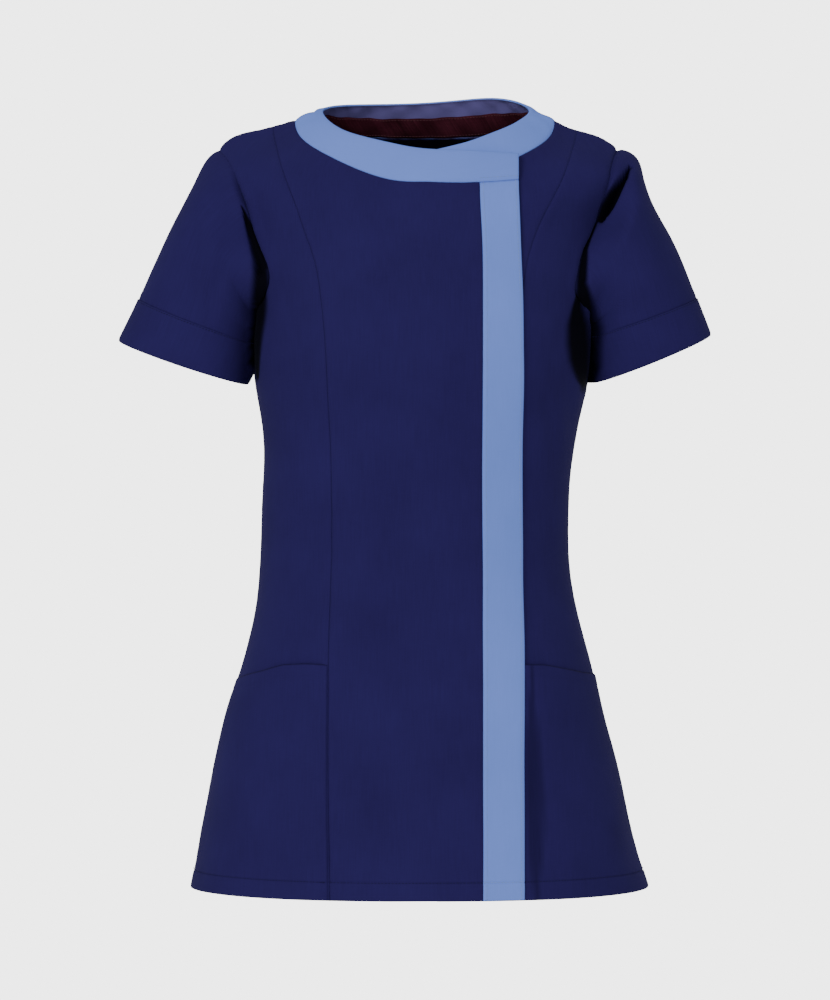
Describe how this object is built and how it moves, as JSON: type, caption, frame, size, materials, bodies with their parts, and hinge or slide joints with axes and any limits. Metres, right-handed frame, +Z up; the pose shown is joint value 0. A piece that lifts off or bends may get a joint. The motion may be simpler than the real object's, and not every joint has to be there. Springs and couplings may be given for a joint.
{
  "type": "medical tunic",
  "caption": "Short-sleeved fitted tunic, filled out with no wearer: band collar, off-centre lapped front with a contrast strip, princess seams, hip pockets, banded sleeve hems.",
  "frame": {"origin": "on the centre line of the body at the height of the neck points, midway between front and back", "axes": "+Z up towards the collar, -Y out of the front, +X towards the wearer's left"},
  "size_m": [0.5491, 0.2913, 0.7329],
  "materials": {
    "navy_cloth": "matt dark navy poly-cotton twill",
    "sky_cloth": "matt light blue poly-cotton twill",
    "maroon_cloth": "matt dark maroon tape"
  },
  "bodies": {
    "root": {"front_right_centre": "navy_cloth", "front_right_side": "navy_cloth", "front_left_centre": "navy_cloth", "front_left_side": "navy_cloth", "back": "navy_cloth", "sleeve_right": "navy_cloth", "sleeve_left": "navy_cloth", "cuff_right": "navy_cloth", "cuff_left": "navy_cloth", "pocket_right": "navy_cloth", "pocket_left": "navy_cloth", "front_placket": "sky_cloth", "collar": "sky_cloth", "neck_tape": "maroon_cloth"}
  },
  "joints": []
}
